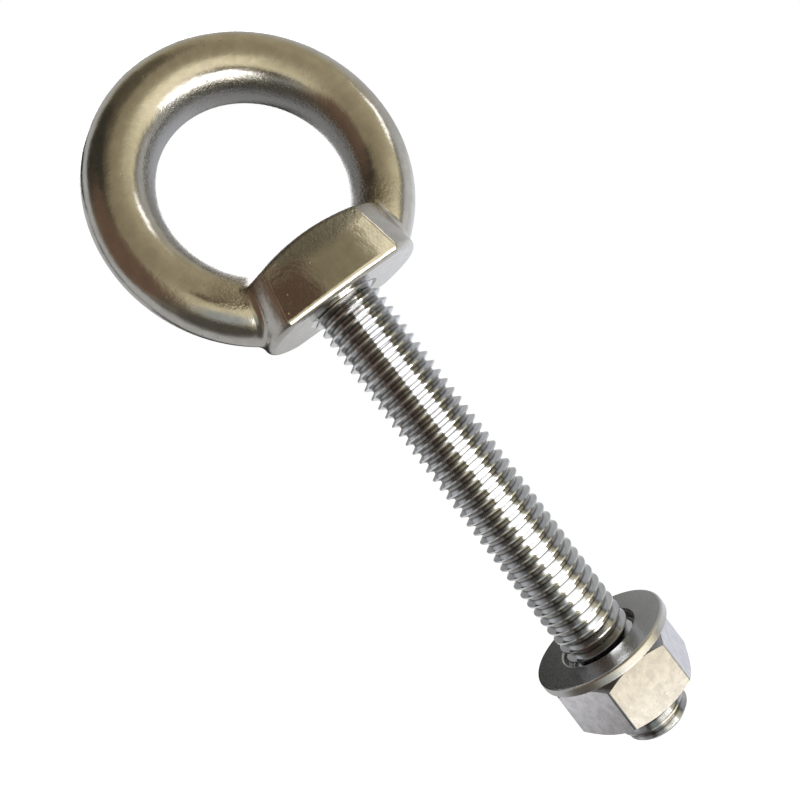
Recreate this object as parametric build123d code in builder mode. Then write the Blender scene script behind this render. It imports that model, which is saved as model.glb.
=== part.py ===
from build123d import *
import os
from math import ceil, radians, tan

# Lifting eye bolt with a fully threaded stud, a plain washer and a hex nut.
# All sizes are in millimetres. The stud's axis is Z, the eye is at the top and lies in the XZ
# plane, and the origin is at the middle of the flat seat under the eye's collar.

# Eye ring: a round bar closed into a ring.
ring_centre_height = 19.35
ring_radius = 17.2
ring_bar_radius = 4.5

# Collar under the ring: a slightly tapered round boss with a domed top and two ground flats.
collar_seat_radius = 12.2
collar_top_radius = 11.3
collar_side_height = 7.6
collar_dome_height = 10.1
collar_across_flats = 18.7
collar_crown_radius = 70.0  # the flats are crowned a little by polishing
collar_flat_turn = -9.0  # degrees about Z: the flats stand slightly turned against the ring
collar_flat_edge = 0.6
collar_seat_edge = 1.0
neck_fillet = 1.5

# M10 coarse thread, right-handed, with the clearance of a free-running nut.
thread_pitch = 1.5
thread_flank_slope = tan(radians(30))
basic_pitch_radius = 4.513
outer_pitch_radius = basic_pitch_radius - 0.06
outer_crest_radius = 4.92
outer_root_radius = 4.08
inner_pitch_radius = basic_pitch_radius + 0.08
inner_crest_radius = 5.08
inner_root_radius = 4.25
crest_turn_at_seat = -68.0  # degrees about Z of the crest's middle in the seat plane
tooth_embedding = 0.15  # how far the tooth's foot reaches into the core
tap_overrun = 0.5

# Threaded stud, screwed into a blind tapped hole in the head.
stud_below_seat = 69.4
stud_above_seat = 7.1
stud_end_radius = 4.2
stud_chamfer_radius = 5.2
tapped_hole_depth = 7.8
thread_mouth_radius = 5.4

# Plain washer, resting on the nut.
washer_depth = 56.0  # of its upper face below the seat
washer_thickness = 1.2
washer_radius = 9.8
washer_hole_radius = 5.5
washer_rolled_edge = 0.3
washer_sheared_edge = 0.12

# Hex nut, chamfered at both ends and more deeply under the washer.
nut_across_flats = 16.0
nut_height = 7.8
nut_turn = -97.0  # degrees about Z of the flat that faces forward
nut_corner_radius = 0.5
nut_top_face_radius = 6.7
nut_bottom_face_radius = 7.75
nut_chamfer_slope = tan(radians(30))

os.makedirs("parts", exist_ok=True)


def tooth_half_width(radius, pitch_radius):
    """Half the tooth's width along the axis at this radius."""
    return thread_pitch / 4 - (radius - pitch_radius) * thread_flank_slope


def thread_tooth(root_radius, crest_radius, pitch_radius, bottom, turns):
    """The tooth alone, wound round the axis: flat-crested, with straight flanks."""
    foot_radius = root_radius - tooth_embedding
    foot_half = tooth_half_width(foot_radius, pitch_radius)
    crest_half = tooth_half_width(crest_radius, pitch_radius)
    corners = [
        (foot_radius, -foot_half),
        (crest_radius, -crest_half),
        (crest_radius, crest_half),
        (foot_radius, foot_half),
    ]
    faces = []
    for turn in range(turns):
        middle = bottom + turn * thread_pitch
        helices = [
            Helix(thread_pitch, thread_pitch, radius, center=(0, 0, middle + height))
            for radius, height in corners
        ]
        for edge, next_edge in zip(helices, helices[1:] + helices[:1]):
            faces.append(Face.make_surface_from_curves(edge, next_edge))
    for middle in (bottom, bottom + turns * thread_pitch):
        end = [(radius, 0, middle + height) for radius, height in corners]
        faces.append(Face(Wire.make_polygon(end)))
    return Solid(Shell(faces)).rotate(Axis.Z, crest_turn_at_seat + 360 * bottom / thread_pitch)


def threaded_rod(root_radius, crest_radius, pitch_radius, bottom, top):
    """Threaded rod with flat ends: a core and the tooth round it."""
    turns = ceil((top - bottom) / thread_pitch) + 2
    first_crest = bottom - thread_pitch
    with BuildPart() as rod:
        with BuildSketch(Plane.XY.offset(bottom)):
            Circle(root_radius)
        extrude(amount=top - bottom)
        add(thread_tooth(root_radius, crest_radius, pitch_radius, first_crest, turns))
        with BuildSketch(Plane.XY.offset(bottom)):
            Circle(2 * crest_radius)
        extrude(amount=top - bottom, mode=Mode.INTERSECT)
    return rod.part


def tapping(bottom, top):
    """The space inside a tapped hole."""
    return threaded_rod(inner_root_radius, inner_crest_radius, inner_pitch_radius, bottom, top)


def thread_mouth(height, direction):
    """A countersink at one end of a tapped hole; direction is +1 where the hole goes upwards."""
    with BuildPart() as mouth:
        with BuildSketch(Plane.XZ):
            with BuildLine():
                Polyline(
                    (0, height),
                    (thread_mouth_radius, height),
                    (0, height + direction * thread_mouth_radius),
                    close=True,
                )
            make_face()
        revolve(axis=Axis.Z)
    return mouth.part


# Head: collar and ring in one piece, cut off flat at the seat.
with BuildPart() as eye_head:
    with BuildSketch(Plane.XZ):
        with BuildLine():
            Polyline((0, 0), (collar_seat_radius, 0), (collar_top_radius, collar_side_height))
            dome_rise = collar_dome_height - collar_side_height
            dome_radius = (collar_top_radius**2 + dome_rise**2) / (2 * dome_rise)
            RadiusArc(
                (collar_top_radius, collar_side_height), (0, collar_dome_height), -dome_radius
            )
            Line((0, collar_dome_height), (0, 0))
        make_face()
    revolve(axis=Axis.Z)
    crown_middle = collar_across_flats / 2 - collar_crown_radius
    with BuildSketch(Plane.XY.rotated((0, 0, collar_flat_turn))):
        with Locations((0, crown_middle)):
            Circle(collar_crown_radius)
        with Locations((0, -crown_middle)):
            Circle(collar_crown_radius, mode=Mode.INTERSECT)
    extrude(amount=2 * collar_dome_height, mode=Mode.INTERSECT)
    flats = faces().filter_by(GeomType.CYLINDER)
    fillet(flats.edges().group_by(Axis.Z)[-1], radius=collar_flat_edge)
    fillet(faces().sort_by(Axis.Z)[0].edges(), radius=collar_seat_edge)
    flats = faces().filter_by(GeomType.CYLINDER).sort_by(SortBy.AREA)[-2:]
    upright_edges = flats.edges().filter_by(
        lambda edge: abs(edge.start_point().Z - edge.end_point().Z) > collar_side_height / 2
    )
    fillet(upright_edges, radius=collar_flat_edge)

    with BuildSketch(Plane.XY.offset(ring_centre_height)):
        with Locations((ring_radius, 0)):
            Circle(ring_bar_radius)
    revolve(axis=Axis((0, 0, ring_centre_height), (0, 1, 0)))
    split(bisect_by=Plane.XY, keep=Keep.TOP)
    collar_edges = edges().filter_by(GeomType.BSPLINE)
    neck_edges = collar_edges.filter_by(
        lambda edge: edge.length > ring_bar_radius and abs(edge.center().Y) < ring_bar_radius
    )
    fillet(neck_edges, radius=neck_fillet)

    add(tapping(-tap_overrun, tapped_hole_depth), mode=Mode.SUBTRACT)
    add(thread_mouth(0, 1), mode=Mode.SUBTRACT)
eye_head.part.label = "eye_head"
export_step(eye_head.part, "parts/eye_head.step")

# Stud: thread along its whole length, with both ends chamfered.
with BuildPart() as threaded_stud:
    add(
        threaded_rod(
            outer_root_radius,
            outer_crest_radius,
            outer_pitch_radius,
            -stud_below_seat,
            stud_above_seat,
        )
    )
    with BuildSketch(Plane.XZ):
        with BuildLine():
            stud_chamfer = stud_chamfer_radius - stud_end_radius
            Polyline(
                (0, -stud_below_seat),
                (stud_end_radius, -stud_below_seat),
                (stud_chamfer_radius, stud_chamfer - stud_below_seat),
                (stud_chamfer_radius, stud_above_seat - stud_chamfer),
                (stud_end_radius, stud_above_seat),
                (0, stud_above_seat),
                close=True,
            )
        make_face()
    revolve(axis=Axis.Z, mode=Mode.INTERSECT)
threaded_stud.part.label = "threaded_stud"
export_step(threaded_stud.part, "parts/threaded_stud.step")

# Washer: punched from sheet, so one edge is rolled over and the other is nearly sharp.
with BuildPart() as plain_washer:
    with BuildSketch(Plane.XY.offset(-washer_depth - washer_thickness)):
        Circle(washer_radius)
        Circle(washer_hole_radius, mode=Mode.SUBTRACT)
    extrude(amount=washer_thickness)
    fillet(edges().group_by(Axis.Z)[-1], radius=washer_rolled_edge)
    fillet(edges().group_by(Axis.Z)[0], radius=washer_sheared_edge)
plain_washer.part.label = "plain_washer"
export_step(plain_washer.part, "parts/plain_washer.step")

# Nut: hexagon with rounded corners, chamfered at both ends, tapped through.
nut_top = -washer_depth - washer_thickness
nut_bottom = nut_top - nut_height
with BuildPart() as hex_nut:
    with BuildSketch(Plane.XY.offset(nut_bottom).rotated((0, 0, nut_turn))):
        RegularPolygon(nut_across_flats / 2, 6, major_radius=False, rotation=30)
    extrude(amount=nut_height)
    fillet(edges().filter_by(Axis.Z), radius=nut_corner_radius)
    with BuildSketch(Plane.XZ):
        with BuildLine():
            chamfer_reach = nut_height / 2 / nut_chamfer_slope
            nut_middle = (nut_bottom + nut_top) / 2
            Polyline(
                (0, nut_bottom),
                (nut_bottom_face_radius, nut_bottom),
                (nut_bottom_face_radius + chamfer_reach, nut_middle),
                (nut_top_face_radius + chamfer_reach, nut_middle),
                (nut_top_face_radius, nut_top),
                (0, nut_top),
                close=True,
            )
        make_face()
    revolve(axis=Axis.Z, mode=Mode.INTERSECT)
    add(tapping(nut_bottom - tap_overrun, nut_top + tap_overrun), mode=Mode.SUBTRACT)
    add(thread_mouth(nut_bottom, 1), mode=Mode.SUBTRACT)
    add(thread_mouth(nut_top, -1), mode=Mode.SUBTRACT)
hex_nut.part.label = "hex_nut"
export_step(hex_nut.part, "parts/hex_nut.step")
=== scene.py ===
from math import cos, pi, radians, sin

import bpy
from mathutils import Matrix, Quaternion, Vector


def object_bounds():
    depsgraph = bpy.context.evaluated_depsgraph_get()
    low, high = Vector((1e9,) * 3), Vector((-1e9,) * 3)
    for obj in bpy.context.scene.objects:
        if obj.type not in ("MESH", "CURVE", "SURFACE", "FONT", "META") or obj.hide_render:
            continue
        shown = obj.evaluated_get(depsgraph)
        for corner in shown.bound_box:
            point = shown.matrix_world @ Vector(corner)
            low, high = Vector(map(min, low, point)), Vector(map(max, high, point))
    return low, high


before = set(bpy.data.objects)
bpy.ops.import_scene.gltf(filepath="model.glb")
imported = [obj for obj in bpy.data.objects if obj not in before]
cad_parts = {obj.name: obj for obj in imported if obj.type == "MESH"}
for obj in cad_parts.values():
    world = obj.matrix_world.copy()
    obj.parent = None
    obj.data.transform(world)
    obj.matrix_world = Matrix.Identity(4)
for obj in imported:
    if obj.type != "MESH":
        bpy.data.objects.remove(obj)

cad_low, cad_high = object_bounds()

# ---------------------------------------------------------------- camera
# Close to the bolt, nearly level, and rolled so that the stud runs down to the right.
CAMERA_PLACE = Vector((-0.02882, -0.09248, -0.01376))
CAMERA_AIM = Vector((-0.00180, 0.00052, -0.01475))
CAMERA_ROLL = radians(-37.2)
CAMERA_LENS = 32.7  # mm
CAMERA_SENSOR = 36.0  # mm
CLIP_START = 0.005
CLIP_END = 20.0


def make_camera():
    data = bpy.data.cameras.new("camera")
    data.sensor_width = CAMERA_SENSOR
    data.lens = CAMERA_LENS
    data.clip_start = CLIP_START
    data.clip_end = CLIP_END
    camera = bpy.data.objects.new("camera", data)
    camera.location = CAMERA_PLACE
    camera.rotation_mode = "QUATERNION"
    level = (CAMERA_AIM - CAMERA_PLACE).to_track_quat("-Z", "Y")
    camera.rotation_quaternion = level @ Quaternion((0, 0, 1), CAMERA_ROLL)
    bpy.context.scene.collection.objects.link(camera)
    bpy.context.scene.camera = camera
    return camera.rotation_quaternion


camera_turn = make_camera()


def around_camera(off_axis, clock):
    """Direction from the bolt, off_axis degrees from the way to the camera, towards clock degrees
    counted anticlockwise from the picture's right."""
    tilt, spin = radians(off_axis), radians(clock)
    return camera_turn @ Vector((sin(tilt) * cos(spin), sin(tilt) * sin(spin), cos(tilt)))


# ---------------------------------------------------------------- node helpers
def new_node(tree, kind, **settings):
    node = tree.nodes.new(kind)
    for name, value in settings.items():
        setattr(node, name, value)
    return node


def feed(tree, socket, value):
    """Links a socket's output, or sets a plain value."""
    if isinstance(value, bpy.types.NodeSocket):
        tree.links.new(value, socket)
    else:
        socket.default_value = value


def maths(tree, operation, first, second=0.0):
    node = new_node(tree, "ShaderNodeMath", operation=operation)
    feed(tree, node.inputs[0], first)
    feed(tree, node.inputs[1], second)
    return node.outputs[0]


def ramp(tree, value, low, high, to_low=0.0, to_high=1.0, smooth=True):
    kind = "SMOOTHSTEP" if smooth else "LINEAR"
    node = new_node(tree, "ShaderNodeMapRange", interpolation_type=kind)
    for socket, number in zip(node.inputs, (value, low, high, to_low, to_high)):
        feed(tree, socket, number)
    return node.outputs[0]


def mix_colour(tree, share, below, above, blend="MIX"):
    node = new_node(tree, "ShaderNodeMix", data_type="RGBA", blend_type=blend)
    feed(tree, node.inputs["Factor"], share)
    feed(tree, node.inputs[6], below if isinstance(below, bpy.types.NodeSocket) else (*below, 1))
    feed(tree, node.inputs[7], above if isinstance(above, bpy.types.NodeSocket) else (*above, 1))
    return node.outputs[2]


# ---------------------------------------------------------------- studio
WHITE = (1.0, 1.0, 1.0)
PAPER = (0.52, 0.52, 0.51)
KHAKI = (0.82, 0.74, 0.49)
RIM = (0.22, 0.21, 0.18)
WINDOW = (4.2, 4.2, 4.1)


def studio_card(tree, direction, below, off_axis, clock, half_width, soft, colour):
    """Lays one soft round card over the surroundings; widths are in degrees."""
    dot = new_node(tree, "ShaderNodeVectorMath", operation="DOT_PRODUCT")
    tree.links.new(direction, dot.inputs[0])
    dot.inputs[1].default_value = around_camera(off_axis, clock)
    edge = cos(radians(half_width + soft))
    full = cos(radians(max(half_width - soft, 0)))
    share = ramp(tree, dot.outputs["Value"], edge, full)
    return mix_colour(tree, share, below, colour)


# Soft round cards of the surroundings, the later ones over the earlier ones: angle off the way to
# the camera, clock angle, half width and softness, all in degrees, and colour.
ROOM_CARDS = (
    (120, -5, 38, 14, (0.70, 0.70, 0.69)),
    (150, 0, 24, 9, (0.85, 0.87, 0.92)),
    (142, 177, 32, 5, (0.03, 0.03, 0.027)),
    (0, 0, 87, 5, RIM),
    (0, 0, 76, 6, KHAKI),
    (66, 95, 40, 22, (0.44, 0.38, 0.24)),
    (40, 130, 36, 22, (0.32, 0.27, 0.17)),
    (62, 130, 28, 8, (0.12, 0.10, 0.065)),
    (62, 152, 25, 8, (0.045, 0.042, 0.032)),
    (52, -165, 33, 9, (0.17, 0.11, 0.075)),
    (72, -105, 28, 12, (0.10, 0.09, 0.075)),
    (36, -92, 12, 7, (0.40, 0.43, 0.42)),
    (46, -8, 25, 13, (1.15, 1.03, 0.74)),
    (48, -48, 14, 5, WINDOW),
    (54, -30, 13, 5, WINDOW),
    (62, -17, 11, 5, WINDOW),
    (77, 52, 5, 3, (2.4, 2.4, 2.3)),
)


def make_world():
    """The surroundings that the steel reflects; the camera itself sees them as white."""
    world = bpy.data.worlds.new("studio")
    world.use_nodes = True
    bpy.context.scene.world = world
    tree = world.node_tree
    tree.nodes.clear()
    direction = new_node(tree, "ShaderNodeTexCoord").outputs["Generated"]
    colour = PAPER
    for card in ROOM_CARDS:
        off_axis, clock, half_width, soft, shade = card
        colour = studio_card(
            tree, direction, colour, off_axis, clock, half_width, soft, shade
        )
    light_path = new_node(tree, "ShaderNodeLightPath")
    shown = mix_colour(tree, light_path.outputs["Is Camera Ray"], colour, WHITE)
    background = new_node(tree, "ShaderNodeBackground")
    tree.links.new(shown, background.inputs["Color"])
    output = new_node(tree, "ShaderNodeOutputWorld")
    tree.links.new(background.outputs[0], output.inputs["Surface"])


make_world()
bpy.context.scene.view_settings.view_transform = "Standard"


def softbox(name, node, middle, direction, width, height, glow):
    """An upright rectangular lamp that lights only the named CAD node."""
    data = bpy.data.lights.new(name, "AREA")
    data.shape = "RECTANGLE"
    data.size = width
    data.size_y = height
    data.energy = glow * pi * width * height
    lamp = bpy.data.objects.new(name, data)
    towards = direction.normalized()
    side = Vector(UP).cross(towards).normalized()
    up = towards.cross(side)
    lamp.rotation_mode = "QUATERNION"
    turn = Vector((0, 0, 1)).rotation_difference(towards)
    spin = (turn @ Vector((0, 1, 0))).angle(up)
    if (turn @ Vector((0, 1, 0))).cross(up).dot(towards) < 0:
        spin = -spin
    lamp.rotation_quaternion = Quaternion(towards, spin) @ turn
    lamp.location = Vector(middle) + towards * LAMP_DISTANCE
    lamp.visible_camera = False
    bpy.context.scene.collection.objects.link(lamp)
    lit = bpy.data.collections.new(name + "_lights")
    lit.objects.link(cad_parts[node])
    lamp.light_linking.receiver_collection = lit


def round_stud(turn):
    """Level direction from the stud, turn degrees anticlockwise from the way to the camera."""
    level = Vector((CAMERA_PLACE.x, CAMERA_PLACE.y, 0)).normalized()
    return Quaternion((0, 0, 1), radians(turn)) @ level


# Lamps that each light one CAD node, standing upright at the same distance from it: name, node,
# middle, direction, width, height, glow.
LAMP_DISTANCE = 0.5
UP = (0, 0, 1)
STUD_MIDDLE = (0, 0, -0.03)
HEAD_MIDDLE = (0, 0, 0.02)
NUT_MIDDLE = (0, 0, -0.061)
LAMPS = (
    ("thread_strip", "threaded_stud", STUD_MIDDLE, round_stud(27), 0.44, 0.5, 7.0),
    ("thread_left", "threaded_stud", STUD_MIDDLE, round_stud(-85), 0.5, 0.6, 0.3),
    ("thread_rear", "threaded_stud", STUD_MIDDLE, round_stud(-142), 0.6, 0.6, 0.3),
    ("thread_fill", "threaded_stud", STUD_MIDDLE, round_stud(-28), 0.4, 0.5, 0.06),
    ("ring_top", "eye_head", HEAD_MIDDLE, around_camera(145, 125), 0.34, 0.34, 2.2),
    ("ring_left", "eye_head", HEAD_MIDDLE, around_camera(135, 185), 0.34, 0.34, 0.5),
    ("nut_left", "hex_nut", NUT_MIDDLE, around_camera(102, -142), 0.5, 0.5, 0.45),
)

for lamp_settings in LAMPS:
    softbox(*lamp_settings)


def glowing(name, colour):
    """A material that only gives off this colour."""
    material = bpy.data.materials.new(name)
    material.use_nodes = True
    tree = material.node_tree
    tree.nodes.clear()
    emission = new_node(tree, "ShaderNodeEmission")
    emission.inputs["Color"].default_value = (*colour, 1)
    output = new_node(tree, "ShaderNodeOutputMaterial")
    tree.links.new(emission.outputs[0], output.inputs["Surface"])
    return material


def studio_flag(name, left, right, colour):
    """A small card in front of the collar, seen only as a reflection in its polished flat."""
    mesh = bpy.data.meshes.new(name)
    corners = [
        (left, FLAG_FRONT, FLAG_LOW),
        (right, FLAG_FRONT, FLAG_LOW),
        (right, FLAG_FRONT, FLAG_HIGH),
        (left, FLAG_FRONT, FLAG_HIGH),
    ]
    mesh.from_pydata(corners, [], [(0, 1, 2, 3)])
    mesh.materials.append(glowing(name, colour))
    flag = bpy.data.objects.new(name, mesh)
    flag.visible_camera = False
    flag.visible_diffuse = False
    flag.visible_shadow = False
    bpy.context.scene.collection.objects.link(flag)


# Cards side by side in front of the collar: name, left edge, right edge, colour.
FLAG_FRONT = -0.038
FLAG_LOW = 0.001
FLAG_HIGH = 0.0145
FLAGS = (
    ("flag_brown", -0.024, -0.006, (0.12, 0.075, 0.05)),
    ("flag_olive", -0.006, 0.0105, (0.29, 0.25, 0.155)),
    ("card_warm", 0.0115, 0.017, (1.25, 1.15, 0.85)),
)

for flag_settings in FLAGS:
    studio_flag(*flag_settings)


FLOOR_DROP = 0.03  # below the bolt's lower end
FLOOR_REACH = 6.0
FLOOR_COLOUR = (0.85, 0.85, 0.85)
FLOOR_ROUGHNESS = 0.9
FLOOR_GLOW = 0.85


def make_floor():
    """A plain white floor, left out of reflections."""
    height = cad_low.z - FLOOR_DROP
    mesh = bpy.data.meshes.new("floor")
    corners = [
        (x * FLOOR_REACH, y * FLOOR_REACH, height)
        for x, y in ((-1, -1), (1, -1), (1, 1), (-1, 1))
    ]
    mesh.from_pydata(corners, [], [(0, 1, 2, 3)])
    floor = bpy.data.objects.new("floor", mesh)
    bpy.context.scene.collection.objects.link(floor)
    material = bpy.data.materials.new("floor_white")
    material.use_nodes = True
    shader = material.node_tree.nodes["Principled BSDF"]
    shader.inputs["Base Color"].default_value = (*FLOOR_COLOUR, 1)
    shader.inputs["Roughness"].default_value = FLOOR_ROUGHNESS
    shader.inputs["Emission Color"].default_value = (*WHITE, 1)
    shader.inputs["Emission Strength"].default_value = FLOOR_GLOW
    mesh.materials.append(material)
    floor.visible_glossy = False


make_floor()


# ---------------------------------------------------------------- steel
MM = 0.001
RING_CENTRE = 19.35 * MM  # height of the eye's middle above the seat
CORNER_RADIUS = 12.3 * MM  # where the ring meets the collar: distance from the stud's axis,
CORNER_HEIGHT = 8.6 * MM  # and height above the seat
RING_INSIDE = (13.0 * MM, 14.8 * MM)  # from the eye's middle: darker (painted shade) and rougher up to the first, untouched past the second
THREAD_ROOT = 4.08 * MM
THREAD_GROOVE_TOP = 4.4 * MM  # painted shade in the groove fades out between the root and here
WASHER_RIM_LIGHTER = (9.4 * MM, 9.75 * MM)  # from the axis: lighter towards the rim, where the face's painted shade ends


class Steel:
    """A bare metal material and the parts of its node tree that every finish uses."""

    def __init__(self, name):
        self.material = bpy.data.materials.new(name)
        self.material.use_nodes = True
        self.tree = self.material.node_tree
        self.shader = self.tree.nodes["Principled BSDF"]
        self.shader.inputs["Metallic"].default_value = 1.0
        self.place = new_node(self.tree, "ShaderNodeTexCoord").outputs["Object"]
        self.normal = None

    def stretched(self, x, y, z):
        """The place with each direction multiplied, for grain that runs one way."""
        node = new_node(self.tree, "ShaderNodeVectorMath", operation="MULTIPLY")
        self.tree.links.new(self.place, node.inputs[0])
        node.inputs[1].default_value = (x, y, z)
        return node.outputs[0]

    def round_axis(self, centre_height, axis):
        """Distance from the axis through this height, along Z or along Y."""
        shift = new_node(self.tree, "ShaderNodeVectorMath", operation="SUBTRACT")
        self.tree.links.new(self.place, shift.inputs[0])
        shift.inputs[1].default_value = (0, 0, centre_height)
        flat = new_node(self.tree, "ShaderNodeVectorMath", operation="MULTIPLY")
        self.tree.links.new(shift.outputs[0], flat.inputs[0])
        flat.inputs[1].default_value = (1, 1, 0) if axis == "Z" else (1, 0, 1)
        length = new_node(self.tree, "ShaderNodeVectorMath", operation="LENGTH")
        self.tree.links.new(flat.outputs[0], length.inputs[0])
        return length.outputs["Value"]

    def part(self, axis):
        """One coordinate of the place."""
        node = new_node(self.tree, "ShaderNodeSeparateXYZ")
        self.tree.links.new(self.place, node.inputs[0])
        return node.outputs[axis]

    def joined(self, x, y, z):
        node = new_node(self.tree, "ShaderNodeCombineXYZ")
        for socket, value in zip(node.inputs, (x, y, z)):
            feed(self.tree, socket, value)
        return node.outputs[0]

    def noise(self, size, detail=2.0, rough=0.5, place=None):
        """Noise whose blobs are about this size, in metres."""
        node = new_node(self.tree, "ShaderNodeTexNoise")
        self.tree.links.new(place or self.place, node.inputs["Vector"])
        node.inputs["Scale"].default_value = 1 / size
        node.inputs["Detail"].default_value = detail
        node.inputs["Roughness"].default_value = rough
        return node.outputs["Fac"]

    def pits(self, spacing, radius, share):
        """1 inside small round pits, 0 elsewhere; only a share of the cells has one."""
        cells = new_node(self.tree, "ShaderNodeTexVoronoi")
        self.tree.links.new(self.place, cells.inputs["Vector"])
        cells.inputs["Scale"].default_value = 1 / spacing
        near = ramp(self.tree, cells.outputs["Distance"], 0, radius / spacing, 1, 0)
        pick = new_node(self.tree, "ShaderNodeSeparateColor")
        self.tree.links.new(cells.outputs["Color"], pick.inputs[0])
        chosen = maths(self.tree, "LESS_THAN", pick.outputs[0], share)
        return maths(self.tree, "MULTIPLY", near, chosen)

    def relief(self, height, depth):
        """Adds bump of this depth, in metres, over what is there already."""
        node = new_node(self.tree, "ShaderNodeBump")
        feed(self.tree, node.inputs["Height"], height)
        node.inputs["Distance"].default_value = depth
        if self.normal:
            self.tree.links.new(self.normal, node.inputs["Normal"])
        self.normal = node.outputs[0]

    def finish(self, colour, roughness):
        feed(self.tree, self.shader.inputs["Base Color"], colour)
        feed(self.tree, self.shader.inputs["Roughness"], roughness)
        self.tree.links.new(self.normal, self.shader.inputs["Normal"])
        return self.material

    def times(self, first, second):
        return maths(self.tree, "MULTIPLY", first, second)

    def plus(self, first, second):
        return maths(self.tree, "ADD", first, second)


def polished_casting():
    """Ring and collar: cast, linished and polished, with grain, pits and soft waves left in it, and
    rougher in the corner where the ring meets the collar; painted shade darkens that corner, the pits and
    the inside of the ring."""
    steel = Steel("polished_casting")
    tree = steel.tree
    wave = steel.noise(7 * MM, 1.0)
    ripple = steel.noise(1.6 * MM, 2.0)
    grain = steel.noise(0.25 * MM, 3.0, 0.6)
    cast = steel.noise(0.5 * MM, 3.0, 0.65)
    scratches = steel.noise(0.5 * MM, 2.0, 0.6, steel.stretched(1.0, 6.0, 1.0))
    pits = steel.pits(1.1 * MM, 0.16 * MM, 0.22)
    outwards = maths(tree, "SUBTRACT", steel.round_axis(0, "Z"), CORNER_RADIUS)
    upwards = maths(tree, "SUBTRACT", steel.part("Z"), CORNER_HEIGHT)
    from_corner = maths(
        tree,
        "SQRT",
        steel.plus(steel.times(outwards, outwards), steel.times(upwards, upwards)),
    )
    corner = ramp(tree, from_corner, 1.2 * MM, 3.6 * MM, 1, 0)
    steel.relief(wave, 0.22 * MM)
    steel.relief(ripple, 0.035 * MM)
    steel.relief(grain, 0.011 * MM)
    steel.relief(scratches, 0.004 * MM)
    steel.relief(steel.times(cast, corner), 0.11 * MM)
    steel.relief(pits, -0.03 * MM)
    cloud = ramp(tree, ripple, 0.35, 0.65)
    clean = mix_colour(tree, cloud, (0.60, 0.58, 0.55), (0.66, 0.64, 0.61))
    # Painted shade: darker colour in the corner where the ring meets the collar.
    corner_painted_shade = mix_colour(tree, steel.times(corner, 0.5), clean, (0.42, 0.37, 0.32))
    # Painted shade: darker colour inside the pits.
    colour = mix_colour(tree, steel.times(pits, 0.6), corner_painted_shade, (0.22, 0.20, 0.18))
    inside = ramp(tree, steel.round_axis(RING_CENTRE, "Y"), *RING_INSIDE, 1, 0)
    steel.relief(steel.times(cast, inside), 0.06 * MM)
    # Painted shade: darker colour inside the ring; the extra roughness and bumps there are real.
    inside_painted_shade = mix_colour(tree, inside, colour, (0.36, 0.355, 0.35))
    polish = ramp(tree, grain, 0.3, 0.7, 0.11, 0.21, False)
    rougher = steel.plus(steel.times(corner, 0.08), steel.times(inside, 0.14))
    return steel.finish(inside_painted_shade, steel.plus(polish, rougher))


def rolled_thread():
    """Stud: rolled thread, with fine streaks that run along the groove and painted shade darkening the
    bottom of the groove.
    """
    steel = Steel("rolled_thread")
    radius = steel.round_axis(0, "Z")
    streaks = steel.noise(0.16 * MM, 3.0, 0.6, steel.stretched(0.12, 0.12, 1.0))
    grain = steel.noise(0.12 * MM, 2.0)
    cloud = steel.noise(3 * MM, 2.0)
    steel.relief(streaks, 0.004 * MM)
    steel.relief(grain, 0.0015 * MM)
    # Painted shade: darker towards the root of the groove, lighter on the crests.
    depth = ramp(steel.tree, radius, THREAD_ROOT, THREAD_GROOVE_TOP)
    metal = mix_colour(steel.tree, depth, (0.30, 0.295, 0.29), (0.68, 0.69, 0.71))
    shade = ramp(steel.tree, cloud, 0.3, 0.7, 0.86, 1.0, False)
    colour = mix_colour(steel.tree, 1.0, metal, shade, "MULTIPLY")
    gloss = ramp(steel.tree, streaks, 0.3, 0.7, 0.10, 0.18, False)
    return steel.finish(colour, gloss)


def punched_washer():
    """Washer: satin sheet metal with rings of fine scratches, a face darkened as painted shade and a
    brighter rolled edge.
    """
    steel = Steel("punched_washer")
    radius = steel.round_axis(0, "Z")
    rings = steel.noise(
        0.12 * MM, 2.0, 0.5, steel.joined(radius, 0.0, steel.times(steel.part("Z"), 0.3))
    )
    grain = steel.noise(0.15 * MM, 3.0, 0.6)
    cloud = steel.noise(2.5 * MM, 2.0)
    steel.relief(rings, 0.003 * MM)
    steel.relief(grain, 0.004 * MM)
    # Painted shade: the face is darker to stand in for the shadowed surroundings it reflects; the
    # blotches over it are its own tone.
    face = mix_colour(steel.tree, cloud, (0.44, 0.44, 0.44), (0.60, 0.60, 0.60))
    rim_lighter = ramp(steel.tree, radius, *WASHER_RIM_LIGHTER)
    colour = mix_colour(steel.tree, rim_lighter, face, (0.70, 0.70, 0.71))
    gloss = ramp(steel.tree, grain, 0.3, 0.7, 0.24, 0.36, False)
    return steel.finish(colour, gloss)


def forged_nut():
    """Nut: satin flats with small pits and spots."""
    steel = Steel("forged_nut")
    cloud = steel.noise(1.2 * MM, 3.0, 0.6)
    grain = steel.noise(0.14 * MM, 3.0, 0.6)
    draw = steel.noise(0.5 * MM, 2.0, 0.5, steel.stretched(1.0, 1.0, 0.12))
    pits = steel.pits(0.9 * MM, 0.14 * MM, 0.3)
    steel.relief(draw, 0.010 * MM)
    steel.relief(grain, 0.007 * MM)
    steel.relief(pits, -0.02 * MM)
    share = ramp(steel.tree, cloud, 0.35, 0.65)
    clean = mix_colour(steel.tree, share, (0.58, 0.57, 0.60), (0.68, 0.67, 0.70))
    # Painted shade: darker colour inside the pits.
    colour = mix_colour(steel.tree, steel.times(pits, 0.5), clean, (0.28, 0.24, 0.21))
    gloss = ramp(steel.tree, grain, 0.3, 0.7, 0.13, 0.22, False)
    return steel.finish(colour, gloss)


def dress(node, material):
    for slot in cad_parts[node].material_slots:
        slot.link = "OBJECT"
        slot.material = material


dress("eye_head", polished_casting())
dress("threaded_stud", rolled_thread())
dress("plain_washer", punched_washer())
dress("hex_nut", forged_nut())
